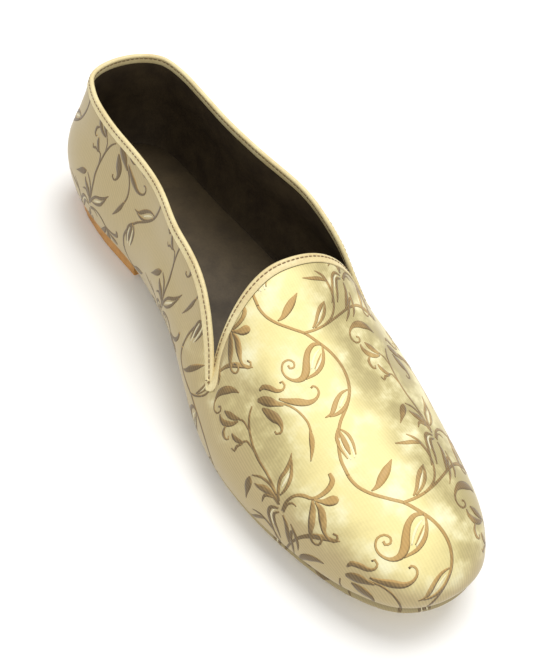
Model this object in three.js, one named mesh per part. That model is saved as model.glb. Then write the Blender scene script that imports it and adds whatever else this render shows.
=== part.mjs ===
// Left shoe of a pair of brocade mojari slippers, standing empty on its sole.
// Millimetres, +Z up, toe towards -Y, +X the outer (little toe) side.
// "Station" is the distance from the back of the heel, measured along the shoe.
import * as THREE from 'three';

// ---- driving sizes -------------------------------------------------------
const FOOT_LENGTH = 270;          // feather line, heel back to toe
const LOOP_HALF = 45;             // stations along each side of the shoe

// [station, outer half width, inner half width] of the feather line
const OUTLINE = [
  [5, 18.5, 19],
  [14, 25.2, 25.5],
  [27, 28.0, 28.3],
  [46, 29.2, 28.4],
  [68, 31.6, 26.0],
  [90, 35.0, 25.6],
  [112, 38.8, 27.4],
  [134, 42.6, 32.6],
  [156, 44.8, 39.4],
  [174, 45.0, 42.6],
  [198, 42.2, 41.8],
  [222, 36.6, 37.2],
  [245, 29.6, 30.2],
  [258, 23.0, 23.4],
  [265, 16.9, 17.0],
];

const HEEL_HEIGHT = 9;            // heel block, floor to seat
const HEEL_LENGTH = 68;           // heel back to the straight breast
const SOLE_THICKNESS = 2.7;
const TOE_SPRING = 10;            // lift of the sole's underside at the toe
const GAP = 0.3;                  // clearance between neighbouring pieces
const SOLE_INSET = 2.4;           // sole edge inside the feather line
const HEEL_INSET = 1.2;           // heel edge inside the sole edge

// [station, height of the sole's underside above the floor]
const BOTTOM_LINE = [
  [0, HEEL_HEIGHT + GAP],
  [64, HEEL_HEIGHT + GAP],
  [90, 8.1],
  [125, 3.4],
  [158, 0],
  [196, 0],
  [222, 1.1],
  [248, 4.6],
  [FOOT_LENGTH, TOE_SPRING],
];

const WALL = 1.8;                 // upper's leather and cloth together
const MARGIN = 8;                 // upper turned in under the insole
const FEATHER_RADIUS = 2.4;       // rounding where the wall turns under
const SIDE_BULGE = 4.6;           // wall standing out past the feather line
const BULGE_HEIGHT = 38;          // height over which the wall stands out

// [station, height of the closed last's ridge above the floor]
const RIDGE_LINE = [
  [60, 122],
  [95, 101],
  [140, 72.5],
  [168, 58],
  [198, 49.5],
  [226, 46.5],
  [248, 42.5],
];
const RIDGE_SHIFT = -1;           // ridge leans to the big toe side
const TOE_ROUND = 32;             // length over which the toe end rounds off
const SECTION_POWER = 2.4;        // squareness of the cross sections

const TONGUE_STATION = 141;       // top of the tongue, on the ridge
const NOTCH_STATION = { outer: 148, inner: 159 };
const NOTCH_HEIGHT = 35;          // bottom of the notch above the floor
// [station, height of the opening's edge above the floor]
const TOPLINE = [
  [0, 71],
  [22, 69],
  [60, 67],
  [95, 64.5],
];
// The edge's run down into each notch: [distance behind the notch, height]
const NOTCH_RUN = [
  [35, 61.5],
  [19, 54],
  [8, 43.5],
  [0, NOTCH_HEIGHT],
];
const QUARTER_FLARE = 5;          // quarter standing off beside the notch
const BACK_BULGE = 2.2;           // roundness of the back of the heel
const BACK_LEAN = 5;              // topline drawn in at the back

const BINDING_WIDTH = 2.8;
const SEAM_GAP = 0.4;             // between the wall and its binding
const BINDING_PROUD = 0.35;       // binding thicker than the wall, each side

const INSOLE_THICKNESS = 2.2;
const INSOLE_INSET = 2.6;

// ---- curves --------------------------------------------------------------
// Smooth curve through [station, value] points, level at its peaks and flats,
// straight beyond its ends.
function curve(points) {
  const last = points.length - 1;
  const slope = [];
  for (let i = 0; i < last; i++) {
    const rise = points[i + 1][1] - points[i][1];
    slope.push(rise / (points[i + 1][0] - points[i][0]));
  }
  const tangent = points.map((point, i) => {
    if (i === 0) return slope[0];
    if (i === last) return slope[last - 1];
    if (slope[i - 1] * slope[i] <= 0) return 0;
    const before = point[0] - points[i - 1][0];
    const after = points[i + 1][0] - point[0];
    return (slope[i - 1] * after + slope[i] * before) / (before + after);
  });
  return (at) => {
    if (at <= points[0][0]) {
      return points[0][1] + tangent[0] * (at - points[0][0]);
    }
    if (at >= points[last][0]) {
      return points[last][1] + tangent[last] * (at - points[last][0]);
    }
    let i = 0;
    while (at > points[i + 1][0]) i++;
    const span = points[i + 1][0] - points[i][0];
    const u = (at - points[i][0]) / span;
    const start = (2 * u ** 3 - 3 * u ** 2 + 1) * points[i][1];
    const end = (3 * u ** 2 - 2 * u ** 3) * points[i + 1][1];
    const leave = (u ** 3 - 2 * u ** 2 + u) * span * tangent[i];
    const arrive = (u ** 3 - u ** 2) * span * tangent[i + 1];
    return start + end + leave + arrive;
  };
}

const clamp = (value, low, high) => Math.min(Math.max(value, low), high);
const mix = (a, b, k) => a + (b - a) * k;
const ease = (value, from, to) => {
  const k = clamp((value - from) / (to - from), 0, 1);
  return k * k * (3 - 2 * k);
};

// Round-ended outline: the table holds true widths, the ends follow an ellipse.
const roundness = (station) => {
  return Math.sqrt(Math.max(station * (FOOT_LENGTH - station), 0)) / (FOOT_LENGTH / 2);
};
const outerRatio = curve(OUTLINE.map(([s, outer]) => [s, outer / roundness(s)]));
const innerRatio = curve(OUTLINE.map(([s, , inner]) => [s, inner / roundness(s)]));
function halfWidth(station, side) {
  const ratio = side > 0 ? outerRatio(station) : innerRatio(station);
  return ratio * roundness(station);
}

const underside = curve(BOTTOM_LINE);
const feather = (station) => underside(clamp(station, 0, FOOT_LENGTH)) + SOLE_THICKNESS + GAP;

const ridgeCurve = curve(RIDGE_LINE);
function ridge(station) {
  const u = clamp((station - (FOOT_LENGTH - TOE_ROUND)) / TOE_ROUND, 0, 1);
  const fall = (1 - u ** 2.2) ** (1 / 2.1);
  return feather(station) + (ridgeCurve(station) - feather(station)) * fall;
}
const ridgeX = (station) => RIDGE_SHIFT * ease(station, 120, 200);

// Height of the last over a point of the plan.
function lastHeight(x, station, side) {
  const centre = ridgeX(station);
  const reach = Math.abs(side * halfWidth(station, side) - centre);
  const across = clamp(Math.abs(x - centre) / Math.max(reach, 1e-6), 0, 1);
  const rise = (1 - across ** SECTION_POWER) ** (1 / SECTION_POWER);
  return feather(station) + (ridge(station) - feather(station)) * rise;
}

// Distance the last's side draws in at a given height.
function drawIn(height, station, side) {
  const centre = ridgeX(station);
  const reach = Math.abs(side * halfWidth(station, side) - centre);
  const up = clamp((height - feather(station)) / (ridge(station) - feather(station)), 0, 1);
  return reach * (1 - (1 - up ** SECTION_POWER) ** (1 / SECTION_POWER));
}

// ---- the loop round the shoe ---------------------------------------------
// Stations bunch towards the heel and toe so both ends stay round.
const LOOP = 2 * LOOP_HALF;
function loopPoint(index) {
  const side = index <= LOOP_HALF ? 1 : -1;
  const step = index <= LOOP_HALF ? index : LOOP - index;
  const station = (FOOT_LENGTH / 2) * (1 - Math.cos((Math.PI * step) / LOOP_HALF));
  return { side, step, station, x: side * halfWidth(station, side) };
}
const ring = Array.from({ length: LOOP }, (_, i) => loopPoint(i));
ring.forEach((point, i) => {
  const before = ring[(i + LOOP - 1) % LOOP];
  const after = ring[(i + 1) % LOOP];
  const length = Math.hypot(after.x - before.x, after.station - before.station);
  point.outX = (after.station - before.station) / length;
  point.outS = -(after.x - before.x) / length;
});

const notchStation = (side) => (side > 0 ? NOTCH_STATION.outer : NOTCH_STATION.inner);
function notchStep(side) {
  const turn = Math.acos(1 - (2 * notchStation(side)) / FOOT_LENGTH);
  return Math.round((turn / Math.PI) * LOOP_HALF);
}
const NOTCH_STEP = { outer: notchStep(1), inner: notchStep(-1) };

const topCurves = {};
for (const side of [1, -1]) {
  const step = side > 0 ? NOTCH_STEP.outer : NOTCH_STEP.inner;
  const station = loopPoint(side > 0 ? step : LOOP - step).station;
  topCurves[side] = {
    step,
    station,
    edge: curve([...TOPLINE, ...NOTCH_RUN.map(([behind, z]) => [station - behind, z])]),
  };
}

// Throat of the vamp: from the notch (0) round to the top of the tongue (1).
function throat(side, part) {
  const notch = topCurves[side].station;
  const away = 1 - part;
  const centre = ridgeX(TONGUE_STATION);
  const notchX = side * (halfWidth(notch, side) - drawIn(NOTCH_HEIGHT, notch, side));
  return {
    x: centre + (notchX - centre) * Math.sin((away * Math.PI) / 2) ** 0.86,
    station: TONGUE_STATION + (notch - TONGUE_STATION) * away ** 1.75,
  };
}

// Point inside the feather line by an inset, at the height of a lengthwise curve.
function insetPoint(at, inset, height) {
  const station = at.station - at.outS * inset;
  return new THREE.Vector3(
    at.x - at.outX * inset,
    FOOT_LENGTH / 2 - station,
    height(station),
  );
}

// How far the wall stands out (or turns under) at a height above the feather.
function standOut(rise) {
  const bulge = SIDE_BULGE * Math.sin(Math.PI * clamp(rise / BULGE_HEIGHT, 0, 1));
  if (rise >= FEATHER_RADIUS) return bulge;
  const drop = FEATHER_RADIUS - Math.max(rise, 0);
  return bulge - FEATHER_RADIUS + Math.sqrt(FEATHER_RADIUS ** 2 - drop ** 2);
}

// Outer face of the upper. "up" runs from the feather line (0) to the edge (1).
function outerFace(index, up) {
  const at = ring[index % LOOP];
  const top = topCurves[at.side];
  const floor = feather(at.station);
  if (at.step >= top.step) {
    const part = (at.step - top.step) / (LOOP_HALF - top.step);
    const edge = throat(at.side, part);
    const k = up ** 1.9;
    const x = mix(at.x, edge.x, k);
    const station = mix(at.station, edge.station, k);
    const height = at.step === top.step
      ? mix(floor, NOTCH_HEIGHT, up)
      : lastHeight(x, station, at.side);
    const out = standOut(height - feather(station));
    const sideways = at.step === top.step
      ? at.side * (halfWidth(at.station, at.side) - drawIn(height, at.station, at.side))
      : x;
    return new THREE.Vector3(
      sideways + at.outX * out,
      FOOT_LENGTH / 2 - (station + at.outS * out),
      height,
    );
  }
  const height = mix(floor, top.edge(at.station), up);
  const rise = height - floor;
  const forward = ease(at.station, 55, 105);
  const flare = QUARTER_FLARE * ease(at.station, top.station, top.station - 16)
    * ease(rise, 8, 34) * ease(at.station, 70, 110);
  const inner = drawIn(height, at.station, at.side) - flare;
  const back = BACK_LEAN * (rise / 58) ** 2.2
    - BACK_BULGE * Math.sin(Math.PI * clamp(rise / 50, 0, 1));
  const out = standOut(rise) * mix(0.45, 1, forward) - back * (1 - forward);
  return new THREE.Vector3(
    at.x + at.outX * out - at.side * inner * forward,
    FOOT_LENGTH / 2 - (at.station + at.outS * out),
    height,
  );
}

// Turned-in margin under the insole, 0 at the feather line to 1 at its edge.
function marginFace(index, inward) {
  const at = ring[index % LOOP];
  return insetPoint(at, mix(FEATHER_RADIUS, MARGIN, inward), feather);
}

// ---- solids --------------------------------------------------------------
// Skins stacked rings of points; open ends are closed with strips across.
function skin(rings, name, color, roughness, capped) {
  const size = rings[0].length;
  const positions = rings.flat().flatMap((point) => point.toArray());
  const faces = [];
  const steps = capped ? rings.length - 1 : rings.length;
  for (let r = 0; r < steps; r++) {
    const next = (r + 1) % rings.length;
    for (let i = 0; i < size; i++) {
      const j = (i + 1) % size;
      faces.push([r * size + i, next * size + j, r * size + j]);
      faces.push([r * size + i, next * size + i, next * size + j]);
    }
  }
  if (capped) {
    const top = (rings.length - 1) * size;
    for (let i = 0; 2 * i + 1 < size; i++) {
      const across = [i, i + 1, size - i - 1, (size - i) % size];
      const corners = across.filter((corner, k) => across.indexOf(corner) === k);
      for (let k = 2; k < corners.length; k++) {
        const face = [corners[0], corners[k - 1], corners[k]];
        faces.push(face);
        faces.push(face.map((corner) => corner + top).reverse());
      }
    }
  }
  const geometry = new THREE.BufferGeometry();
  geometry.setAttribute('position', new THREE.Float32BufferAttribute(positions, 3));
  geometry.setIndex(faces.flat());
  geometry.computeVertexNormals();
  const material = new THREE.MeshStandardMaterial({ color, roughness, metalness: 0 });
  const mesh = new THREE.Mesh(geometry, material);
  mesh.name = name;
  return mesh;
}

// Finds the place on a rising or falling function, between 0 and 1.
function solve(test) {
  let low = 0;
  let high = 1;
  for (let i = 0; i < 30; i++) {
    const middle = (low + high) / 2;
    if (test(middle)) low = middle;
    else high = middle;
  }
  return (low + high) / 2;
}

const PROBE = 1e-3;
// Unit normal of the outer face, pointing out of the shoe.
function outward(index, up) {
  const high = Math.min(up + PROBE, 1);
  const along = outerFace(index, high).sub(outerFace(index, high - 2 * PROBE));
  const before = outerFace((index + LOOP - 1) % LOOP, up);
  const around = outerFace((index + 1) % LOOP, up).sub(before);
  return along.cross(around).normalize();
}

const edgeLine = ring.map((_, i) => outerFace(i, 1));
function edgeDistance(point, index) {
  let nearest = Infinity;
  const segment = new THREE.Line3();
  const foot = new THREE.Vector3();
  for (let k = -LOOP_HALF / 3; k < LOOP_HALF / 3; k++) {
    const i = (index + k + LOOP) % LOOP;
    segment.set(edgeLine[i], edgeLine[(i + 1) % LOOP]);
    segment.closestPointToPoint(point, true, foot);
    nearest = Math.min(nearest, foot.distanceTo(point));
  }
  return nearest;
}
function upNearEdge(index, distance) {
  return solve((up) => edgeDistance(outerFace(index, up), index) > distance);
}
function upAtRise(index, rise) {
  const floor = feather(ring[index].station);
  return solve((up) => outerFace(index, up).z - floor < rise);
}

// Both faces of the wall between two places, as closed sections round the loop.
function wallRings(ups, outside, inside) {
  const outer = ups.map((row) => row.map((up, i) => {
    return outerFace(i, up).addScaledVector(outward(i, up), outside);
  }));
  const inner = ups.map((row) => row.map((up, i) => {
    return outerFace(i, up).addScaledVector(outward(i, up), -inside);
  }));
  return { outer, inner: inner.reverse() };
}

function makeUpper() {
  const corner = [0.3, 0.62].map((part) => {
    return ring.map((_, i) => upAtRise(i, part * FEATHER_RADIUS));
  });
  const start = ring.map((_, i) => upAtRise(i, FEATHER_RADIUS));
  const end = ring.map((_, i) => upNearEdge(i, BINDING_WIDTH + SEAM_GAP));
  const rows = 11;
  const wall = Array.from({ length: rows }, (_, r) => {
    return ring.map((_, i) => mix(start[i], end[i], r / (rows - 1)));
  });
  const outerWall = wallRings([...corner, ...wall], 0, WALL);
  const innerWall = wallRings(wall, 0, WALL);
  const under = [1, 0.5, 0].map((inward) => ring.map((_, i) => marginFace(i, inward)));
  const over = [0, 0.5, 1].map((inward) => ring.map((_, i) => {
    return marginFace(i, inward).add(new THREE.Vector3(0, 0, WALL));
  }));
  const rings = [...under, ...outerWall.outer, ...innerWall.inner, ...over];
  return skin(rings, 'upper', 0xdcd09a, 0.55, false);
}

function makeBinding() {
  const rows = 4;
  const start = ring.map((_, i) => upNearEdge(i, BINDING_WIDTH));
  const band = Array.from({ length: rows }, (_, r) => {
    return ring.map((_, i) => mix(start[i], 1, r / (rows - 1)));
  });
  const sides = wallRings(band, BINDING_PROUD, WALL + BINDING_PROUD);
  const rim = ring.map((_, i) => {
    const normal = outward(i, 1);
    const before = edgeLine[(i + LOOP - 1) % LOOP];
    const along = edgeLine[(i + 1) % LOOP].clone().sub(before);
    const away = along.cross(normal).normalize();
    const roll = WALL / 2 + BINDING_PROUD;
    return edgeLine[i].clone().addScaledVector(normal, -WALL / 2).addScaledVector(away, roll * 0.7);
  });
  const rings = [...sides.outer, rim, ...sides.inner];
  return skin(rings, 'topline_binding', 0xd8c48f, 0.5, false);
}

// Rings inside the feather line: [inset, height above the sole's underside]
function layered(layers, points) {
  return layers.map(([inset, rise]) => points.map((at) => {
    return insetPoint(at, inset, (station) => {
      return underside(clamp(station, 0, FOOT_LENGTH)) + rise;
    });
  }));
}

function makeOutsole() {
  const bevel = 0.6;
  const layers = [
    [SOLE_INSET + bevel, 0],
    [SOLE_INSET, bevel],
    [SOLE_INSET, SOLE_THICKNESS - bevel],
    [SOLE_INSET + bevel, SOLE_THICKNESS],
  ];
  return skin(layered(layers, ring), 'outsole', 0xe6d6a4, 0.6, true);
}

function makeInsole() {
  const bed = SOLE_THICKNESS + GAP;
  const seat = bed + WALL + GAP;
  const plug = MARGIN + GAP + 0.2;
  const layers = [
    [plug, bed],
    [plug, seat],
    [INSOLE_INSET, seat],
    [INSOLE_INSET, seat + INSOLE_THICKNESS - 0.5],
    [INSOLE_INSET + 0.5, seat + INSOLE_THICKNESS],
  ];
  return skin(layered(layers, ring), 'insole', 0x3a3120, 0.7, true);
}

function makeHeel() {
  const steps = [];
  for (let i = 0; ring[i].station < HEEL_LENGTH - 3; i++) steps.push(ring[i]);
  const breast = { station: HEEL_LENGTH, x: halfWidth(HEEL_LENGTH, 1), outX: 1, outS: 0 };
  const outer = [...steps, breast];
  const inner = steps.slice(1).map((at) => ring[LOOP - at.step]);
  const innerBreast = { station: HEEL_LENGTH, x: -halfWidth(HEEL_LENGTH, -1), outX: -1, outS: 0 };
  const points = [...outer, innerBreast, ...inner.reverse()];
  const inset = SOLE_INSET + HEEL_INSET;
  const bevel = 0.5;
  const layers = [
    [inset + 0.6 + bevel, 0],
    [inset + 0.6, bevel],
    [inset, HEEL_HEIGHT - bevel],
    [inset + bevel, HEEL_HEIGHT],
  ];
  const rings = layers.map(([inward, height]) => points.map((at) => {
    return insetPoint(at, inward, () => height);
  }));
  return skin(rings, 'heel', 0xc59050, 0.6, true);
}

const group = new THREE.Group();
group.name = 'mojari';
group.add(makeUpper(), makeBinding(), makeInsole(), makeOutsole(), makeHeel());

// The frame's origin is the middle of the shoe's plan, on the floor.
const bounds = new THREE.Box3().setFromObject(group);
const middle = bounds.getCenter(new THREE.Vector3());
for (const mesh of group.children) mesh.geometry.translate(-middle.x, -middle.y, -bounds.min.z);

export default group;
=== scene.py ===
"""A brocade mojari slipper: the left shoe of a pair, standing empty on its sole."""
import math

import bmesh
import bpy
from mathutils import Matrix, Vector
from mathutils.bvhtree import BVHTree
from mathutils.geometry import barycentric_transform


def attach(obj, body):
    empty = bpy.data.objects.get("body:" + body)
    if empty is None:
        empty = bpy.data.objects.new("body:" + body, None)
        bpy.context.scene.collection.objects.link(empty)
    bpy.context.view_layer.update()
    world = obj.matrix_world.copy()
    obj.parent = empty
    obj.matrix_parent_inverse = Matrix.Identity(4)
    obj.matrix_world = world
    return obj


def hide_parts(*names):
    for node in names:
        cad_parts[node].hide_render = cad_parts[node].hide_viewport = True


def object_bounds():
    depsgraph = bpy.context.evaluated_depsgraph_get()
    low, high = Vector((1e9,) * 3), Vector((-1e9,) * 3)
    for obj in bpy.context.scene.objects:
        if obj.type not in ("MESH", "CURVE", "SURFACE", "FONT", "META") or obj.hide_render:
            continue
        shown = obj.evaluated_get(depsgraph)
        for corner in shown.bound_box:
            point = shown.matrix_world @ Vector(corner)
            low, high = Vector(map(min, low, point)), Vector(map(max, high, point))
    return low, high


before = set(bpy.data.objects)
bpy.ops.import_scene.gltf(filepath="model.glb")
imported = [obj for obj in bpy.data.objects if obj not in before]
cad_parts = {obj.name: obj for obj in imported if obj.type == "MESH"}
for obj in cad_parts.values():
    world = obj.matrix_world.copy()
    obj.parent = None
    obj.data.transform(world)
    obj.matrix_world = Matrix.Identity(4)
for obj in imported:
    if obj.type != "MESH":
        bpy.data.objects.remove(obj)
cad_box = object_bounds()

# ---- upper -------------------------------------------------------------------
# The upper is one wall of thin leather with silk brocade glued over it and a dark
# lining inside. It was lasted wet, so it keeps the shape of the foot. The cloth is one
# piece, cut flat like a horseshoe, whose ends are joined by a seam at the heel.
MM = 0.001
WELD = 0.002 * MM                # CAD corners closer than this are one
CLOTH_UNIT = 100 * MM            # one unit of the cloth's own map
FOLD = math.radians(55)          # an edge that turns more is a cut edge or a corner
FOLD_CREASE = 0.9                # how crisp the smoothing leaves a fold
SEAM_REACH = 12 * MM             # the heel seam lies this near to the back of the heel
ON_RIDGE = 0.5 * MM              # a point this near to the middle line is on it
WALL_ROWS = 10                   # rows of the wall above its rounded foot
FOOT_ROWS = 3
TROUGH_CUTS = 3                  # the lowest wall row is cut this often
TROUGH_DEPTH = 2.2 * MM          # before smoothing, which halves it
TROUGH_START = -30 * MM          # it deepens from here towards the toe
TROUGH_FADE = 60 * MM            # and is at its deepest this much further on
BAND_SHADE = 0.6                 # painted shade on the band under the trough, as a share of the trough's own


def edges_round(vert):
    """The edges that meet at a vertex of a closed mesh, in turn."""
    first = loop = vert.link_loops[0]
    edges = [loop.edge]
    while (loop := loop.link_loop_prev.link_loop_radial_next) != first:
        edges.append(loop.edge)
    return edges


def quad_copy(node):
    """A ring-shaped CAD node, merged, with the diagonal of each quad dissolved."""
    bm = bmesh.new()
    bm.from_mesh(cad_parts[node].data)
    bmesh.ops.remove_doubles(bm, verts=bm.verts, dist=WELD)
    # Six edges meet at every vertex: along, across and diagonal, then the same again.
    bm.verts.ensure_lookup_table()
    start = bm.verts[0]
    kind = {edge: k % 3 for k, edge in enumerate(edges_round(start))}
    waiting, seen = [start], {start}
    while waiting:
        vert = waiting.pop()
        turn = edges_round(vert)
        known = next(k for k, edge in enumerate(turn) if edge in kind)
        shift = kind[turn[known]] - known
        for k, edge in enumerate(turn):
            kind[edge] = (k + shift) % 3
            other = edge.other_vert(vert)
            if other not in seen:
                seen.add(other)
                waiting.append(other)
    kinds = [[edge for edge, k in kind.items() if k == wanted] for wanted in range(3)]
    diagonals = max(kinds, key=lambda edges: sum(edge.calc_length() for edge in edges))
    bmesh.ops.dissolve_edges(bm, edges=diagonals, use_verts=False)
    return bm


def regions(bm):
    """The faces of each smooth stretch between cut edges, largest stretch first."""
    left, found = set(bm.faces), []
    while left:
        waiting, region = [left.pop()], []
        while waiting:
            face = waiting.pop()
            region.append(face)
            for edge in face.edges:
                if edge.calc_face_angle(0) > FOLD:
                    continue
                for other in edge.link_faces:
                    if other in left:
                        left.remove(other)
                        waiting.append(other)
        found.append(region)
    return sorted(found, key=lambda region: -sum(face.calc_area() for face in region))


def new_piece(name, bm):
    mesh = bpy.data.meshes.new(name)
    bm.to_mesh(mesh)
    bm.free()
    piece = bpy.data.objects.new(name, mesh)
    bpy.context.scene.collection.objects.link(piece)
    return piece


def rows_down(bm, count):
    """The outer faces by rows, counted down from the cut edge under the binding."""
    outside, lining, foot_edge, top_edge = regions(bm)
    rows, left = [top_edge], set(outside)
    while len(rows) <= count:
        row = {face for known in rows[-1] for edge in known.edges for face in edge.link_faces}
        rows.append(row & left)
        left -= row
    return rows[1:]


# The lowest row of the wall is cut in four, for the trough pressed in over the sole.
bm = quad_copy("upper")
foot_shade = bm.verts.layers.float.new("foot_shade")
low_row = rows_down(bm, WALL_ROWS)[-1]
steep = [
    edge for edge in {edge for face in low_row for edge in face.edges}
    if all(face in low_row for face in edge.link_faces)
]
bmesh.ops.subdivide_edges(bm, edges=steep, cuts=TROUGH_CUTS, use_grid_fill=True)
rows = rows_down(bm, WALL_ROWS + TROUGH_CUTS + FOOT_ROWS)
cloth_faces = set().union(*rows)
bm.normal_update()
trough = {vert for face in rows[WALL_ROWS + TROUGH_CUTS - 1] for vert in face.verts}
trough &= {vert for face in rows[WALL_ROWS + TROUGH_CUTS - 2] for vert in face.verts}
low_faces = set().union(*rows[WALL_ROWS + TROUGH_CUTS - 1:])
# Painted shade for the trough and the band under it, deepening towards the toe, is kept in
# foot_shade.
for vert in {vert for face in low_faces for vert in face.verts}:
    toe_ward = min(max((TROUGH_START - vert.co.y) / TROUGH_FADE, 0), 1)
    vert[foot_shade] = toe_ward * (1 if vert in trough else BAND_SHADE)
    if vert in trough:
        vert.co -= vert.normal * TROUGH_DEPTH * toe_ward

# Creases keep the cut edges crisp, and the heel seam opens the cloth to lie flat.
crease = bm.edges.layers.float.new("crease_edge")
heel_back = max((vert.co for vert in bm.verts), key=lambda co: co.y).copy()
for edge in bm.edges:
    edge[crease] = FOLD_CREASE if edge.calc_face_angle(0) > FOLD else 0.0
    edge.seam = all(
        vert.co.y > heel_back.y - SEAM_REACH and abs(vert.co.x - heel_back.x) < ON_RIDGE
        for vert in edge.verts
    )
for face in bm.faces:
    face.smooth = True
    face.material_index = 0 if face in cloth_faces else 1
    face.select_set(face in cloth_faces)
upper = new_piece("brocade_upper", bm)
upper.data.uv_layers.new(name="cloth")
bpy.context.view_layer.objects.active = upper
upper.select_set(True)
bpy.ops.object.mode_set(mode="EDIT")
bpy.ops.uv.unwrap(method="MINIMUM_STRETCH", iterations=40, margin=0)
bpy.ops.object.mode_set(mode="OBJECT")
upper.select_set(False)


def lay_cloth(mesh):
    """Turns the flat map to real size: x across from the ridge, y towards the toe."""
    flat = mesh.uv_layers["cloth"].uv
    real_area = flat_area = 0.0
    ridge = []
    for poly in mesh.polygons:
        if poly.material_index:
            continue
        corners = [flat[k].vector for k in poly.loop_indices]
        real_area += poly.area
        flat_area += abs(sum(a.cross(b) for a, b in zip(corners, corners[1:] + corners[:1]))) / 2
        for k in poly.loop_indices:
            place = mesh.vertices[mesh.loops[k].vertex_index].co
            if place.y < 0 and abs(place.x - heel_back.x) < ON_RIDGE:
                ridge.append((place.y, flat[k].vector.copy()))
    scale = math.sqrt(real_area / flat_area) / CLOTH_UNIT
    tongue = max(ridge, key=lambda item: item[0])[1]
    toe = min(ridge, key=lambda item: item[0])[1]
    along = (toe - tongue).normalized()
    across = Vector((along.y, -along.x))
    outer = next(
        flat[k].vector
        for poly in mesh.polygons if not poly.material_index
        for k in poly.loop_indices
        if mesh.vertices[mesh.loops[k].vertex_index].co.x > cad_box[1].x - 3 * MM
    )
    if (outer - tongue).dot(across) < 0:
        across = -across
    for k in range(len(mesh.loops)):
        offset = flat[k].vector - tongue
        flat[k].vector = Vector((offset.dot(across), offset.dot(along))) * scale


lay_cloth(upper.data)
smoothing = upper.modifiers.new("smooth", "SUBSURF")
smoothing.levels = smoothing.render_levels = 2
bpy.context.view_layer.update()
smooth_upper = upper.evaluated_get(bpy.context.evaluated_depsgraph_get())
smooth_mesh = bpy.data.meshes.new_from_object(smooth_upper)
upper.modifiers.clear()
upper.data = smooth_mesh
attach(upper, "root")
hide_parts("upper")


class Cloth:
    """Finds the place on the lasted shoe of any point of the flat cloth."""

    def __init__(self, mesh):
        flat = mesh.uv_layers["cloth"].uv
        self.flats, self.places, self.normals, corners = [], [], [], []
        for poly in mesh.polygons:
            if poly.material_index:
                continue
            loops = list(poly.loop_indices)
            for k in range(2, len(loops)):
                trio = [loops[0], loops[k - 1], loops[k]]
                verts = [mesh.vertices[mesh.loops[loop].vertex_index] for loop in trio]
                corners.append(tuple(range(len(self.flats), len(self.flats) + 3)))
                self.flats += [(flat[loop].vector * CLOTH_UNIT).to_3d() for loop in trio]
                self.places += [vert.co.copy() for vert in verts]
                self.normals += [vert.normal.copy() for vert in verts]
        self.tree = BVHTree.FromPolygons(self.flats, corners)

    def place(self, across, along):
        """Point and outward direction there, and how far it lies off the cloth's edge."""
        nearest, _, triangle, off = self.tree.find_nearest(Vector((across, along, 0)))
        at = slice(3 * triangle, 3 * triangle + 3)
        point = barycentric_transform(nearest, *self.flats[at], *self.places[at])
        normal = barycentric_transform(nearest, *self.flats[at], *self.normals[at])
        return point, normal.normalized(), off


cloth = Cloth(smooth_mesh)


def linear(hex_colour):
    """An sRGB colour such as f7edaa, as Blender's linear values."""
    parts = [int(hex_colour[k:k + 2], 16) / 255 for k in (0, 2, 4)]
    return tuple(c / 12.92 if c <= 0.04045 else ((c + 0.055) / 1.055) ** 2.4 for c in parts) + (1.0,)


def add(tree, kind, settings, inputs):
    """Adds a shader node with its settings; an input is a value or a socket to link."""
    made = tree.nodes.new("ShaderNode" + kind)
    for name, value in settings.items():
        setattr(made, name, value)
    for name, value in inputs.items():
        if isinstance(value, bpy.types.NodeSocket):
            tree.links.new(value, made.inputs[name])
        else:
            made.inputs[name].default_value = value
    return made


def blank_finish(name):
    """A new material's node tree and its shader."""
    material = bpy.data.materials.new(name)
    material.use_nodes = True
    return material, material.node_tree, material.node_tree.nodes["Principled BSDF"]


def wear(material, *pieces):
    for piece in pieces:
        piece.data.materials.append(material)


REPEAT_ACROSS, REPEAT_ALONG = 70, 73          # one repeat of the figure, mm
VINE_PHASE = math.radians(-10)   # the light band lies under the main vine
CLOUD, WANDER = 14, 32           # mm, sizes of the satin's clouds and of its wavy edges
TWILL_PITCH = 0.9                # mm
TWILL_ANGLE = math.radians(38)
WAVE_PERIOD = math.pi / 10       # a wave texture's own period at scale 1


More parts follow.
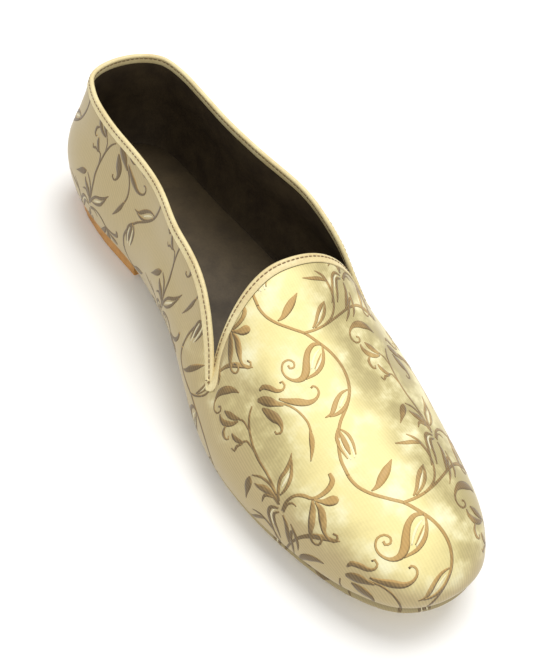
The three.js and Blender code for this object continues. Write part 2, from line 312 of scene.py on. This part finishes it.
def silk(name, light, shade, pale, between, hatch, roughness, sheen):
    """Silk, light along each main vine and duller between vines; down the sides it takes the shade
    colour, painted shade that also stands for the satin's own cooler hue there.
    """
    material, tree, shader = blank_finish(name)
    cloth_map = add(tree, "UVMap", {"uv_map": "cloth"}, {}).outputs["UV"]
    facing = add(tree, "NewGeometry", {}, {}).outputs["Normal"]
    up = add(tree, "SeparateXYZ", {}, {"Vector": facing}).outputs["Z"]
    # Clouds where the two wefts change places under the satin.
    cloud = add(tree, "TexNoise", {}, {
        "Vector": cloth_map, "Scale": 100 / CLOUD, "Detail": 4.0, "Roughness": 0.55,
    }).outputs["Fac"]
    # Painted shade: the less a face points up, the more it takes the shade colour, with clouds
    # making the edge uneven; partly the satin's own cooler hue, partly shade.
    drift = add(tree, "Math", {"operation": "MULTIPLY_ADD"}, {0: cloud, 1: 0.55, 2: up})
    side_shade_mask = add(tree, "MapRange", {"interpolation_type": "SMOOTHSTEP"}, {
        "Value": drift.outputs[0], "From Min": 1.12, "From Max": 0.62,
    }).outputs["Result"]
    pale_part = add(tree, "MapRange", {"interpolation_type": "SMOOTHSTEP"}, {
        "Value": cloud, "From Min": 0.42, "From Max": 0.76,
    }).outputs["Result"]
    body = add(tree, "MixRGB", {}, {
        "Fac": pale_part, "Color1": linear(light), "Color2": linear(pale),
    }).outputs["Color"]
    # Between the vines the satin lets the duller weft show, in a band with wavy edges.
    wander = add(tree, "TexNoise", {}, {
        "Vector": cloth_map, "Scale": 100 / WANDER, "Detail": 1.5,
    }).outputs["Fac"]
    across = add(tree, "SeparateXYZ", {}, {"Vector": cloth_map}).outputs["X"]
    bent = add(tree, "Math", {"operation": "MULTIPLY_ADD"}, {0: wander, 1: 0.3, 2: across})
    turn = add(tree, "Math", {"operation": "MULTIPLY_ADD"}, {
        0: bent.outputs[0], 1: 2 * math.pi * 100 / REPEAT_ACROSS, 2: VINE_PHASE,
    }).outputs[0]
    swing = add(tree, "Math", {"operation": "COSINE"}, {0: turn}).outputs[0]
    dull = add(tree, "MapRange", {"interpolation_type": "SMOOTHSTEP"}, {
        "Value": swing, "From Min": 0.7, "From Max": -0.7,
    }).outputs["Result"]
    patchy = add(tree, "Math", {"operation": "MULTIPLY"}, {
        0: dull, 1: add(tree, "MapRange", {"interpolation_type": "SMOOTHSTEP"}, {
            "Value": cloud, "From Min": 0.72, "From Max": 0.4,
        }).outputs["Result"],
    }).outputs[0]
    banded = add(tree, "MixRGB", {}, {
        "Fac": patchy, "Color1": body, "Color2": linear(between),
    }).outputs["Color"]
    lit = add(tree, "MixRGB", {}, {"Fac": side_shade_mask, "Color1": banded, "Color2": linear(shade)})
    # Painted shade darkens the crease over the sole at the toe, and the band under it, where the
    # fold lies in shadow.
    foot = add(tree, "Attribute", {"attribute_name": "foot_shade"}, {}).outputs["Fac"]
    crease_shaded = add(tree, "MixRGB", {}, {
        "Fac": foot, "Color1": lit.outputs["Color"], "Color2": linear("8d7f58"),
    })
    turned = add(tree, "Mapping", {}, {
        "Vector": cloth_map, "Rotation": (0, 0, TWILL_ANGLE), "Scale": (1, 0.15, 1),
    }).outputs["Vector"]
    twill = add(tree, "TexWave", {"wave_profile": "SIN"}, {
        "Vector": turned, "Scale": WAVE_PERIOD * 100 / TWILL_PITCH, "Distortion": 1.5,
        "Detail": 2.0, "Detail Scale": 2.0,
    }).outputs["Fac"]
    # The twill shows where the satin is thin: down the sides and between the vines.
    thin = add(tree, "Math", {"operation": "MAXIMUM"}, {0: patchy, 1: side_shade_mask}).outputs[0]
    cut = add(tree, "Math", {"operation": "MULTIPLY_ADD"}, {
        0: thin, 1: hatch * 0.7, 2: hatch * 0.3,
    }).outputs[0]
    lines = add(tree, "Math", {"operation": "MULTIPLY_ADD"}, {
        0: add(tree, "Math", {"operation": "MULTIPLY"}, {0: twill, 1: cut}).outputs[0],
        1: -1.0, 2: 1.0,
    }).outputs[0]
    # Slubs: uneven threads a few millimetres long.
    slub_map = add(tree, "Mapping", {}, {"Vector": cloth_map, "Scale": (30, 260, 1)})
    slub = add(tree, "TexNoise", {}, {
        "Vector": slub_map.outputs["Vector"], "Scale": 1.0, "Detail": 2.0,
    }).outputs["Fac"]
    uneven = add(tree, "MapRange", {}, {
        "Value": slub, "To Min": 0.93, "To Max": 1.06,
    }).outputs["Result"]
    weave = add(tree, "Math", {"operation": "MULTIPLY"}, {0: lines, 1: uneven}).outputs[0]
    coloured = add(tree, "MixRGB", {"blend_type": "MULTIPLY"}, {
        "Fac": 1.0, "Color1": crease_shaded.outputs["Color"], "Color2": weave,
    }).outputs["Color"]
    tree.links.new(coloured, shader.inputs["Base Color"])
    rough = add(tree, "MapRange", {}, {
        "Value": slub, "To Min": roughness - 0.08, "To Max": roughness + 0.1,
    }).outputs["Result"]
    tree.links.new(rough, shader.inputs["Roughness"])
    threads = add(tree, "Bump", {}, {"Height": weave, "Strength": 0.25, "Distance": 0.1 * MM})
    tree.links.new(threads.outputs["Normal"], shader.inputs["Normal"])
    shader.inputs["Sheen Weight"].default_value = sheen
    shader.inputs["Sheen Roughness"].default_value = 0.4
    shader.inputs["Specular IOR Level"].default_value = 0.35
    return material


def leather(name, light, dark, patch, grain, roughness, depth):
    """Dyed leather: patch is the size of its mottling, grain of its pebbles, in mm."""
    material, tree, shader = blank_finish(name)
    place = add(tree, "TexCoord", {}, {}).outputs["Object"]
    mottle = add(tree, "TexNoise", {}, {
        "Vector": place, "Scale": 1 / (patch * MM), "Detail": 5.0, "Roughness": 0.6,
    }).outputs["Fac"]
    part = add(tree, "MapRange", {}, {"Value": mottle, "From Min": 0.35, "From Max": 0.68})
    body = add(tree, "MixRGB", {}, {
        "Fac": part.outputs["Result"], "Color1": linear(light), "Color2": linear(dark),
    }).outputs["Color"]
    pebbles = add(tree, "TexVoronoi", {"feature": "SMOOTH_F1"}, {
        "Vector": place, "Scale": 1 / (grain * MM), "Smoothness": 0.6,
    }).outputs["Distance"]
    pores = add(tree, "MapRange", {}, {
        "Value": pebbles, "From Min": 0.2, "From Max": 0.9, "To Min": 1.03, "To Max": 0.9,
    }).outputs["Result"]
    coloured = add(tree, "MixRGB", {"blend_type": "MULTIPLY"}, {
        "Fac": 1.0, "Color1": body, "Color2": pores,
    }).outputs["Color"]
    tree.links.new(coloured, shader.inputs["Base Color"])
    rough = add(tree, "MapRange", {}, {
        "Value": mottle, "To Min": roughness - 0.07, "To Max": roughness + 0.1,
    }).outputs["Result"]
    tree.links.new(rough, shader.inputs["Roughness"])
    skin = add(tree, "Bump", {"invert": True}, {
        "Height": pebbles, "Strength": depth, "Distance": 0.15 * MM,
    })
    tree.links.new(skin.outputs["Normal"], shader.inputs["Normal"])
    shader.inputs["Specular IOR Level"].default_value = 0.4
    return material


# Silk satin ground: bright butter yellow on top, and a cooler, darker beige where it turns down,
# partly the satin's own hue and partly painted shade.
wear(silk("silk satin ground", "eadc9a", "b9a678", "efeac3", "b2a471", 0.15, 0.5, 0.25), upper)
# Soft goat leather lining, dark and matt.
wear(leather("goat leather lining", "4a3d28", "35291a", 9, 0.9, 0.7, 0.3), upper)

# ---- brocade figure ----------------------------------------------------------
# The figure is a gold-brown silk weft, woven up through the satin as vines, sprays and
# curled leaves, with white weft inside the split leaves. One repeat is 70 mm wide and
# 73 mm long. Each stroke of it is charted here as points of (across, along, width) mm.
THREAD_STEP = 1.1                # length of one facet along a stroke
FACET_EDGES = (-0.5, -0.17, 0.17, 0.5)        # across a stroke, in its widths
COLUMNS, BLOCKS = range(-3, 5), range(-2, 3)  # repeats that cover the whole cloth
OFF_CLOTH = 0.02 * MM            # a facet further off than this is left out
STACK_STEP = 0.003 * MM          # strokes that cross lie at slightly unlike heights
STACK_LEVELS = 5
ROOT_DEPTH = 0.05 * MM           # the threads start this far inside the cloth

VINE = [
    [(-18, 9, 1.2), (-17.9, 11, 1.2), (-16.8, 14.6, 1.2), (-14, 18.6, 1.2), (-9.5, 22.8, 1.2),
     (-5.5, 26.3, 1.2), (-2.3, 31, 1.3), (0.6, 36, 1.3), (2.2, 42, 1.3), (1.8, 48, 1.3),
     (-0.6, 53.5, 1.3), (-5, 58.3, 1.2), (-10.5, 62.8, 1.2), (-14.5, 68.3, 1.1),
     (-17.3, 75, 1.2), (-17.9, 80, 1.2), (-18, 82, 1.2)],
    [(-6, 25.8, 1.0), (-1, 26.2, 1.1), (5, 25.7, 1.0), (12, 24.1, 1.0), (19, 22.4, 1.1),
     (25, 21.8, 1.3), (29.5, 22.8, 1.9), (33.5, 25, 2.3), (36.5, 27.3, 1.5), (39, 29, 0.4)],
    [(19, 22.4, 0.9), (21.5, 20.3, 1.3), (23.3, 18.6, 1.4), (25, 18.9, 0.5)],
    [(3, 26, 0.8), (8.5, 24, 0.9), (12.3, 20, 1.0), (14.4, 14.5, 1.1), (14, 9, 1.3),
     (12.6, 6.3, 1.1), (10.4, 4.2, 0.4)],
    [(-38.6, 41.8, 0.6), (-41.2, 44.6, 0.9), (-43.2, 49.5, 1.0), (-44.3, 56, 1.0),
     (-44.4, 62, 1.1), (-43.7, 68, 1.1), (-43.9, 74, 1.1), (-45.3, 80.5, 1.0)],
    [(-48, 52.8, 0.8), (-46, 53, 0.9), (-44.8, 56.5, 0.9), (-44.4, 60, 0.7)],
    [(-46.3, 43.3, 0.8), (-44.2, 45.5, 0.8), (-43.4, 50, 0.7)],
    [(-28.5, 45.4, 0.9), (-25, 48.6, 0.9), (-22.7, 52.5, 0.9), (-21.5, 57.5, 0.9),
     (-22.1, 61.5, 0.9)],
]
LEAVES = [
    # on the vine
    [(-13.6, 17.6, 0.5), (-11, 17, 1.8), (-8.2, 15.2, 3.2), (-5.2, 13.2, 3.0),
     (-3, 11.7, 1.6), (-1.2, 10.4, 0.3)],
    [(-1.5, 25.3, 0.6), (1.2, 23.3, 1.3), (3.4, 20.8, 1.5), (6, 18.6, 1.7), (9, 16.9, 0.3)],
    [(-0.5, 25.5, 0.6), (3, 24, 1.0), (5.8, 22, 1.3), (7.6, 19.6, 1.2), (8.6, 17.4, 0.4)],
    [(14.2, 9.5, 0.8), (11, 7.9, 1.7), (7.5, 6.9, 1.4), (3.8, 5.6, 0.4)],
    [(-1.5, 32.3, 0.8), (-4.5, 31.3, 1.6), (-8, 32.9, 2.2), (-10.6, 36.2, 2.8),
     (-12.6, 39.6, 3.2), (-15.4, 41.6, 2.4), (-18.6, 41, 1.3), (-20.8, 38.3, 0.9),
     (-21, 35.3, 0.8), (-19.3, 33, 0.8), (-16.8, 32.9, 0.8), (-15.4, 34.6, 0.8),
     (-16.2, 36.3, 0.8), (-17.9, 36, 0.9), (-18, 34.7, 0.9)],
    [(-1.3, 33, 0.6), (-2.6, 36.4, 1.2), (-5.3, 39.8, 1.6), (-9.3, 41.9, 1.4),
     (-14.2, 42.3, 0.8)],
    [(-3.3, 35.6, 0.3), (-6, 37.7, 0.6), (-9, 40.2, 0.3)],
    [(-0.8, 52.4, 0.6), (-4, 52.7, 1.2), (-7.4, 54.6, 1.8), (-10, 57, 2.0),
     (-12, 58.6, 1.3), (-14.8, 58.9, 0.4)],
    [(-1.2, 54, 0.7), (-3.6, 56.8, 1.3), (-6.8, 58.8, 1.5), (-10.2, 59.5, 1.3),
     (-13, 59.2, 0.6)],
    [(-12.6, 64.6, 0.6), (-14.9, 67.6, 1.1), (-15.6, 71.5, 1.0), (-15.2, 76.6, 0.4)],
    [(-12.6, 65.5, 0.5), (-12.9, 69, 1.7), (-13.3, 72.5, 1.9), (-13.6, 75.5, 0.5)],
    [(-12, 65.3, 0.6), (-10.5, 68, 1.2), (-10.5, 72, 1.1), (-11.8, 76.4, 0.4)],
    # the curled spray beside it
    [(-33, 38.2, 0.7), (-31, 37.6, 1.9), (-28.6, 39.3, 2.2), (-26.6, 41.5, 1.6),
     (-24.3, 42.2, 0.9), (-22.8, 40.9, 0.8), (-23, 39.3, 0.9), (-24.2, 39.3, 0.7)],
    [(-35.4, 41, 1.2), (-33.4, 42.1, 3.4), (-31, 44, 3.8), (-28.8, 46, 2), (-26.8, 47.6, 0.8)],
    [(-27.3, 44.6, 0.8), (-24.5, 46.9, 2.0), (-21, 49.2, 3.0), (-17.6, 51, 2.2),
     (-14.4, 50.9, 1.2), (-12.2, 49.2, 0.9), (-11.9, 47.2, 0.8), (-13, 45.9, 0.9),
     (-14.1, 46.3, 0.8)],
    [(-35, 44.6, 0.8), (-33.7, 47, 3.0), (-32.1, 50, 4.0), (-31, 52.8, 2.4),
     (-31.3, 55.3, 1.1), (-32.6, 56.5, 0.9), (-34.1, 56, 0.9), (-34.2, 54.8, 0.8)],
    [(-22, 60.5, 0.7), (-23.2, 64.2, 2.0), (-24.9, 67.8, 1.5), (-27.2, 71.4, 0.3)],
    # the small spray at the top of the side stem
    [(-45.6, 43.6, 0.7), (-47.6, 42.2, 2.2), (-49.6, 39.8, 2.6), (-51.3, 37.4, 0.6)],
    [(-46.5, 44.2, 0.7), (-49.5, 43.9, 1.9), (-52.6, 42.2, 2.6), (-54.2, 39.6, 1.6),
     (-54, 37.6, 0.5)],
    [(-52.6, 43.4, 0.6), (-54.6, 45.2, 1.4), (-54.6, 47.8, 1.2), (-53.2, 48.8, 0.7),
     (-52.6, 47.6, 0.7)],
    [(-47.2, 53, 0.7), (-49, 51.6, 1.8), (-50.4, 49.4, 1.9), (-50.8, 47.4, 0.5)],
    [(-48, 53.3, 0.6), (-50.6, 53, 1.2), (-52.3, 54.2, 0.9), (-53.2, 52.6, 0.5)],
    # the free leaf with a spiral tail
    [(-41.6, 34.4, 0.4), (-43.8, 32, 2.2), (-46.5, 30.5, 3.4), (-50, 29.5, 3.0),
     (-53.6, 30, 1.5), (-56.2, 31.9, 0.9), (-56.9, 34.4, 0.8), (-55.6, 36.5, 0.8),
     (-53.4, 36.4, 0.8), (-52.9, 34.8, 0.9), (-54, 34.2, 0.8)],
    # the many-leaved spray at the foot of the side stem
    [(-44.6, 79.4, 0.7), (-42.9, 76, 1.2), (-40.2, 72.3, 1.3), (-36.6, 70.2, 1.6),
     (-33.9, 67.8, 1.2), (-32, 65.2, 0.3)],
    [(-43, 77.6, 0.5), (-39.8, 76.4, 1.2), (-36.4, 73.6, 1.4), (-34.6, 70.6, 1.1),
     (-33, 67.6, 0.4)],
    [(-44.2, 77, 0.8), (-44.5, 72.5, 1.0), (-46.3, 68.4, 1.1), (-49.6, 65.8, 0.5)],
    [(-45.4, 80, 0.7), (-45.6, 76, 1.8), (-47.2, 73, 3.0), (-49.4, 70.6, 1.6),
     (-50.2, 69, 0.3)],
    [(-46, 77, 0.8), (-48.6, 74.9, 1.3), (-51.4, 76.6, 0.4)],
    [(-50.6, 65.8, 0.5), (-52, 67.2, 2.8), (-54.2, 69, 2.7), (-56.4, 70.8, 1.2),
     (-58.6, 72.4, 0.3)],
    [(-46.2, 81.6, 0.8), (-48.8, 79.9, 1.4), (-51.4, 81.2, 1.5), (-53.8, 85, 1.2),
     (-56, 89, 0.9), (-58, 91.6, 0.3)],
    [(-46.8, 83, 0.7), (-49.2, 82.6, 1.2), (-51.2, 85, 1.3), (-53, 88.8, 1.1),
     (-55, 92, 0.5)],
    [(-45.4, 83, 0.8), (-42, 80.8, 1.1), (-38.2, 80.2, 1.2), (-35.2, 81.6, 1.5),
     (-32.8, 84, 1.3), (-29.6, 84.3, 1.6), (-26, 83.3, 1.9), (-23.6, 81.2, 1.9),
     (-23.4, 78.4, 1.2)],
    [(-45.2, 83.8, 0.7), (-42.2, 81.9, 0.9), (-40.2, 82.3, 0.8), (-39.4, 84, 0.4)],
    [(-32.8, 84.4, 0.8), (-30.4, 86.4, 1.6), (-28.2, 87.6, 3.4), (-25.9, 87.9, 3.4),
     (-24.7, 87.9, 1.2)],
    [(-33, 84.6, 0.8), (-34.6, 87.8, 2.2), (-37.2, 91.8, 2.6), (-39.6, 95.2, 1.4),
     (-40.6, 98.2, 1.0), (-39.2, 100, 0.9), (-37.2, 99.3, 0.9), (-36.9, 97.3, 0.9),
     (-38.3, 96.5, 0.8)],
    [(-32.4, 85.6, 0.7), (-31.9, 89, 2.4), (-33.2, 93, 2.8), (-34.6, 97, 1.4),
     (-34, 100.3, 1.0), (-32.2, 101.4, 0.9), (-31, 99.8, 0.9), (-32, 98.5, 0.8)],
    [(-46, 84.6, 0.7), (-47, 88.3, 1.6), (-49.4, 92, 1.8), (-52.2, 95.2, 0.4)],
    [(-45, 88.8, 0.4), (-45.9, 93, 1.3), (-47.6, 96.8, 1.2), (-50, 99.2, 0.3)],
    [(-48.5, 93, 0.4), (-51.2, 96.8, 1.2), (-55, 100.2, 0.3)],
]
WHITE = [
    [(1.5, 24, 0.4), (4, 21.8, 0.7), (6.4, 19.6, 0.4)],
    [(-3, 33.8, 0.4), (-5.5, 34.9, 0.9), (-8, 37, 1.0), (-10.2, 39.8, 0.4)],
    [(-4, 37.2, 0.4), (-6.3, 39, 0.9), (-9, 40.9, 0.4)],
    [(-2.6, 54, 0.4), (-5, 55.4, 0.9), (-7.8, 57.6, 0.5)],
    [(-14.2, 68, 0.3), (-14.4, 73, 0.8), (-14.4, 77.4, 0.4)],
    [(-11.6, 68, 0.3), (-11.8, 73, 0.8), (-12.8, 77.4, 0.4)],
    [(-41, 75.2, 0.4), (-38.4, 73.4, 0.9), (-36, 71.8, 0.5)],
    [(-48, 81.2, 0.3), (-50.6, 82, 0.7), (-52.8, 86, 0.4)],
]


def smooth_run(points):
    """Points at even steps on a smooth curve through the charted ones."""
    points = [Vector(point) for point in points]
    run = []
    for k in range(len(points) - 1):
        before, start = points[max(k - 1, 0)], points[k]
        end, after = points[k + 1], points[min(k + 2, len(points) - 1)]
        steps = max(1, round((end - start).length / THREAD_STEP))
        for step in range(steps):
            t = step / steps
            leave, arrive = (end - before) / 2, (after - start) / 2
            run.append(
                start * (2 * t ** 3 - 3 * t ** 2 + 1) + end * (3 * t ** 2 - 2 * t ** 3)
                + leave * (t ** 3 - 2 * t ** 2 + t) + arrive * (t ** 3 - t ** 2)
            )
    return run + [points[-1]]


def weave_stroke(bm, cloth_map, points, shift, proud):
    """Lays one charted stroke on the lasted cloth as a strip three facets wide."""
    run = smooth_run(points)
    strip, flats, off = [], {}, {}
    for k, spot in enumerate(run):
        ahead = run[min(k + 1, len(run) - 1)] - run[max(k - 1, 0)]
        sideways = Vector((-ahead.y, ahead.x)).normalized()
        row = []
        for part in FACET_EDGES:
            flat = (spot.to_2d() + sideways * spot.z * part + shift) * MM
            point, normal, outside = cloth.place(*flat)
            vert = bm.verts.new(point + normal * proud)
            flats[vert], off[vert] = flat / CLOTH_UNIT, outside
            row.append(vert)
        strip.append(row)
    for near, far in zip(strip, strip[1:]):
        for k in range(3):
            corners = [near[k], near[k + 1], far[k + 1], far[k]]
            if min(off[vert] for vert in corners) > OFF_CLOTH:
                continue
            face = bm.faces.new(corners)
            face.smooth = True
            for loop in face.loops:
                loop[cloth_map].uv = flats[loop.vert]


smooth_tree = BVHTree.FromObject(upper, bpy.context.evaluated_depsgraph_get())


def cloth_normal(face):
    """Outward direction of the shoe near a facet."""
    return smooth_tree.find_nearest(face.calc_center_median())[1]


def weave_figure(name, strokes, proud):
    """One colour of the figure over the whole cloth, standing proud of it."""
    bm = bmesh.new()
    cloth_map = bm.loops.layers.uv.new("cloth")
    for column in COLUMNS:
        for block in BLOCKS:
            shift = Vector((column * REPEAT_ACROSS, block * REPEAT_ALONG))
            for k, points in enumerate(strokes):
                height = proud + STACK_STEP * (k % STACK_LEVELS)
                weave_stroke(bm, cloth_map, points, shift, height)
    bmesh.ops.delete(bm, geom=[vert for vert in bm.verts if not vert.link_faces], context="VERTS")
    flipped = [face for face in bm.faces if face.normal.dot(cloth_normal(face)) < 0]
    bmesh.ops.reverse_faces(bm, faces=flipped)
    figure = new_piece(name, bm)
    body = figure.modifiers.new("thread", "SOLIDIFY")
    body.thickness, body.offset = proud + ROOT_DEPTH, -1.0
    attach(figure, "root")
    return figure


vines = weave_figure("brocade_vines", VINE, 0.045 * MM)
leaves = weave_figure("brocade_leaves", LEAVES, 0.06 * MM)
highlights = weave_figure("brocade_highlights", WHITE, 0.04 * MM)
# Gold-brown silk weft: warm on top of the vamp, a greyer, darker brown down the sides, partly its
# own hue and partly painted shade.
gold_brown = silk("gold brown silk weft", "bf9a5d", "7a6541", "c8a96d", "8c7246", 0.4, 0.5, 0.2)
wear(gold_brown, vines, leaves)
# Undyed silk weft, nearly white, with painted shade down the sides.
wear(silk("white silk weft", "efe6b8", "d8cda6", "f2ecc8", "e0d8b4", 0.15, 0.45, 0.25), highlights)

# ---- topline binding ---------------------------------------------------------
# A narrow strip of smooth pale leather rolled over the opening's edge. Its rim is a round
# roll, and close below it one tight line of brown stitches pulls the strip down.
GROOVE_DEPTH = 0.5 * MM
HEM_LAP = 0.7 * MM               # the hem laps this far over the cloth
HEEL_REACH = 15 * MM             # the section count starts this near to the heel's back
STITCH_PITCH = 2.1 * MM
STITCH_LENGTH = 1.9 * MM
STITCH_WIDTH = 0.6 * MM
STITCH_PROUD = 0.06 * MM
TWIST_PITCH = 0.987 * MM


def straight_on(vert, edge):
    """Vertices met by going straight on from a vertex, until it comes round."""
    met = [vert]
    while (vert := edge.other_vert(vert)) != met[0]:
        met.append(vert)
        turn = edges_round(vert)
        edge = turn[(turn.index(edge) + 2) % 4]
    return met


bm = quad_copy("topline_binding")
heel_end = [vert for vert in bm.verts if vert.co.y > cad_box[1].y - HEEL_REACH]
rim_start = max(heel_end, key=lambda vert: vert.co.z)
turn = edges_round(rim_start)
lengthwise = max(range(4), key=lambda k: len(straight_on(rim_start, turn[k])))
rim = straight_on(rim_start, turn[lengthwise])
sections = []
for k, vert in enumerate(rim):
    forward = next(e for e in vert.link_edges if e.other_vert(vert) == rim[(k + 1) % len(rim)])
    turn = edges_round(vert)
    sections.append(straight_on(vert, turn[(turn.index(forward) + 1) % 4]))
# In a section: 0 the rim, 1 to 4 down one side, 5 to 8 up the other.
bm.normal_update()
moves = []
for section in sections:
    for groove, hem, above in ((2, 4, 3), (7, 5, 6)):
        moves.append((section[groove], section[groove].normal * -GROOVE_DEPTH))
        down = (section[hem].co - section[above].co).normalized()
        moves.append((section[hem], down * HEM_LAP))
for vert, move in moves:
    vert.co += move
crease = bm.edges.layers.float.new("crease_edge")
for hem_row in (4, 5):
    for section, following in zip(sections, sections[1:] + sections[:1]):
        bm.edges.get((section[hem_row], following[hem_row]))[crease] = 1.0
for face in bm.faces:
    face.smooth = True
stitch_line = [[section[k].co.copy() for section in sections] for k in (2, 7)]
binding = new_piece("topline_binding_leather", bm)
smoothing = binding.modifiers.new("smooth", "SUBSURF")
smoothing.levels = smoothing.render_levels = 2
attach(binding, "root")
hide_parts("topline_binding")
# Smooth calf leather, dyed a pale gold: nearly even, with a soft shine.
wear(leather("pale calf leather", "e3d4a2", "d3bf8b", 12, 0.7, 0.42, 0.15), binding)

bpy.context.view_layer.update()
binding_tree = BVHTree.FromObject(binding, bpy.context.evaluated_depsgraph_get())


def closed_run(points, pitch):
    """Even steps round a closed line: place and direction."""
    around = points + points[:1]
    lengths = [(b - a).length for a, b in zip(around, around[1:])]
    count = round(sum(lengths) / pitch)
    step, walked, k, steps = sum(lengths) / count, 0.0, 0, []
    for n in range(count):
        while walked + lengths[k] < n * step:
            walked += lengths[k]
            k += 1
        t = (n * step - walked) / lengths[k]
        steps.append((around[k].lerp(around[k + 1], t), (around[k + 1] - around[k]).normalized()))
    return steps


bead = bmesh.new()
bmesh.ops.create_uvsphere(bead, u_segments=8, v_segments=5, radius=0.5)
bmesh.ops.scale(bead, vec=(STITCH_LENGTH, STITCH_WIDTH, STITCH_WIDTH * 0.8), verts=bead.verts)
bead.verts.index_update()
bm = bmesh.new()
for line in stitch_line:
    for place, along in closed_run(line, STITCH_PITCH):
        on, normal, _, _ = binding_tree.find_nearest(place)
        across = normal.cross(along).normalized()
        turned = Matrix((along, across, normal)).transposed()
        verts = [
            bm.verts.new(on + normal * STITCH_PROUD + turned @ vert.co) for vert in bead.verts
        ]
        for face in bead.faces:
            bm.faces.new([verts[vert.index] for vert in face.verts]).smooth = True
bead.free()
stitches = new_piece("binding_stitches", bm)
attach(stitches, "root")


def thread(name, light, dark):
    """Twisted sewing thread, with fine lines across it."""
    material, tree, shader = blank_finish(name)
    place = add(tree, "TexCoord", {}, {}).outputs["Object"]
    twist = add(tree, "TexWave", {"bands_direction": "DIAGONAL"}, {
        "Vector": place, "Scale": WAVE_PERIOD / TWIST_PITCH,
    }).outputs["Fac"]
    body = add(tree, "MixRGB", {}, {
        "Fac": twist, "Color1": linear(dark), "Color2": linear(light),
    }).outputs["Color"]
    tree.links.new(body, shader.inputs["Base Color"])
    shader.inputs["Roughness"].default_value = 0.6
    shader.inputs["Sheen Weight"].default_value = 0.2
    return material


# Waxed brown linen thread.
wear(thread("brown linen thread", "8f6f43", "62492a"), stitches)

# ---- insole ------------------------------------------------------------------
# A board insole covered in dark leather, dropped in over the turned-in margin.
CORNER = math.radians(30)        # faces that meet more sharply show a corner


def tidy_copy(name, node, finish):
    """A CAD node's own shape, its triangles merged into flat faces and shaded by corner."""
    bm = bmesh.new()
    bm.from_mesh(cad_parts[node].data)
    bmesh.ops.remove_doubles(bm, verts=bm.verts, dist=WELD)
    bmesh.ops.dissolve_limit(
        bm, angle_limit=math.radians(1), use_dissolve_boundaries=False,
        verts=bm.verts, edges=bm.edges,
    )
    for face in bm.faces:
        face.smooth = True
    for edge in bm.edges:
        edge.smooth = edge.calc_face_angle(0) < CORNER
    piece = new_piece(name, bm)
    wear(finish, piece)
    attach(piece, "root")
    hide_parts(node)


# Dark sheep leather, a little shiny where the foot has pressed it.
tidy_copy(
    "insole_cover", "insole",
    leather("dark sheep leather", "54462e", "3f3320", 15, 1.0, 0.6, 0.3),
)

# ---- outsole -----------------------------------------------------------------
# Thin vegetable-tanned leather, glued on with its pale grain side down and its edge
# trimmed close under the upper.
tidy_copy(
    "leather_outsole", "outsole",
    leather("vegetable tanned sole leather", "eddaa5", "d5c391", 30, 0.8, 0.55, 0.2),
)

# ---- heel --------------------------------------------------------------------
# A low block of stacked leather lifts with a tan top piece, mottled by polishing.
tidy_copy(
    "stacked_heel", "heel",
    leather("polished tan leather", "cf9a55", "b5803f", 8, 0.9, 0.45, 0.2),
)

# ---- floor, light and camera -------------------------------------------------
# A plain white floor under broad, soft light from overhead, as in a light tent.
bm = bmesh.new()
bmesh.ops.create_grid(bm, x_segments=1, y_segments=1, size=3.0)
floor = new_piece("floor", bm)
material, _, shader = blank_finish("matt white board")
shader.inputs["Base Color"].default_value = linear("f7f6f4")
shader.inputs["Roughness"].default_value = 0.9
wear(material, floor)

scene = bpy.context.scene
scene.view_settings.view_transform = "Standard"
world = bpy.data.worlds.new("light tent")
world.use_nodes = True
world.node_tree.nodes["Background"].inputs["Color"].default_value = (1, 1, 1, 1)
world.node_tree.nodes["Background"].inputs["Strength"].default_value = 0.7
scene.world = world


def soft_light(name, place, aim, size, power):
    lamp = bpy.data.lights.new(name, "AREA")
    lamp.size, lamp.energy = size, power
    holder = bpy.data.objects.new(name, lamp)
    holder.location = place
    holder.rotation_euler = (Vector(aim) - Vector(place)).to_track_quat("-Z", "Y").to_euler()
    scene.collection.objects.link(holder)


soft_light("overhead", (0.25, 0.15, 1.1), (0, 0, 0.03), 0.7, 9)
soft_light("toe fill", (-0.5, -0.9, 0.7), (0, 0, 0.03), 0.8, 2.5)

AIM = Vector((0, -5, 25)) * MM
CAMERA_AZIMUTH, CAMERA_ELEVATION, CAMERA_ROLL = map(math.radians, (-42.3, 48.6, 13.6))
CAMERA_DISTANCE = 477 * MM
back = Vector((
    math.sin(CAMERA_AZIMUTH) * math.cos(CAMERA_ELEVATION),
    -math.cos(CAMERA_AZIMUTH) * math.cos(CAMERA_ELEVATION),
    math.sin(CAMERA_ELEVATION),
))
lens = bpy.data.cameras.new("camera")
lens.lens = 62
lens.clip_start, lens.clip_end = 0.02, 20
camera = bpy.data.objects.new("camera", lens)
scene.collection.objects.link(camera)
camera.location = AIM + back * CAMERA_DISTANCE
level = (-back).to_track_quat("-Z", "Y").to_matrix()
camera.rotation_euler = (level @ Matrix.Rotation(CAMERA_ROLL, 3, "Z")).to_euler()
scene.camera = camera
